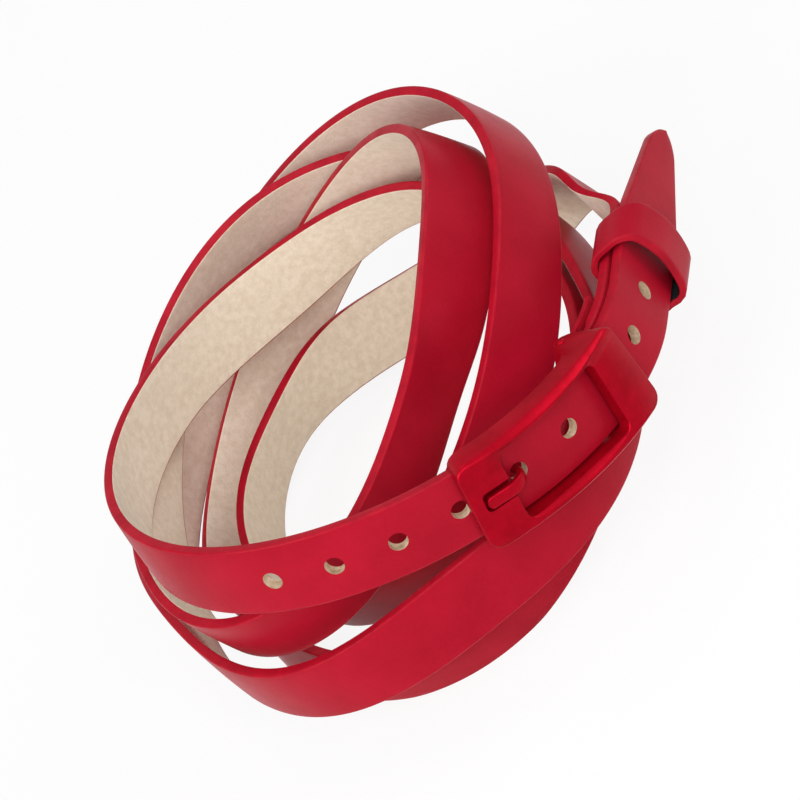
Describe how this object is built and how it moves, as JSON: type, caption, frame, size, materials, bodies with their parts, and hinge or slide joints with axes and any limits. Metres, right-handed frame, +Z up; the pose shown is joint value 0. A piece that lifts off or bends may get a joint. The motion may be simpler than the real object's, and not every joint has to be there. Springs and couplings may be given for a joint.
{
  "type": "leather wrap strap",
  "caption": "Long narrow lined leather strap wound in loose turns as a wrist wrap, closed by a lacquered frame buckle with a prong and a sliding leather keeper.",
  "frame": {"origin": "middle of the winding's outline on the surface it lies on", "axes": "+Z up through the winding, buckle towards -Y, pointed tail towards +X"},
  "size_m": [0.0804, 0.0728, 0.0354],
  "materials": {
    "red_leather": "smooth, half gloss",
    "beige_lining": "matt, fine nap",
    "red_lacquer": "satin lacquer",
    "bar_lacquer": "satin lacquer",
    "prong_lacquer": "satin lacquer",
    "keeper_red_leather": "smooth, half gloss",
    "keeper_black_lining": "matt"
  },
  "bodies": {
    "strap": {"strap_leather": "red_leather", "strap_lining": "beige_lining"},
    "buckle": {"buckle_frame": "red_lacquer", "pivot_bar": "bar_lacquer"},
    "prong": {"buckle_prong": "prong_lacquer"},
    "keeper": {"keeper_leather": "keeper_red_leather", "keeper_lining": "keeper_black_lining"}
  },
  "joints": [
    {"name": "buckle_hinge", "type": "hinge", "parent": "strap", "child": "buckle", "pos_m": [0.0172, -0.02391, 0.01867], "axis": [0.1186, 0.2138, 0.9697], "range_deg": [-0.8, 2.5]},
    {"name": "prong_hinge", "type": "hinge", "parent": "buckle", "child": "prong", "pos_m": [0.0172, -0.02391, 0.01867], "axis": [0.1186, 0.2138, 0.9697], "range_deg": [-0.5, 0.5]},
    {"name": "keeper_slide", "type": "slide", "parent": "strap", "child": "keeper", "axis": [0.4277, 0.8893, -0.1617], "range_m": [-0.002, 0.002]}
  ]
}
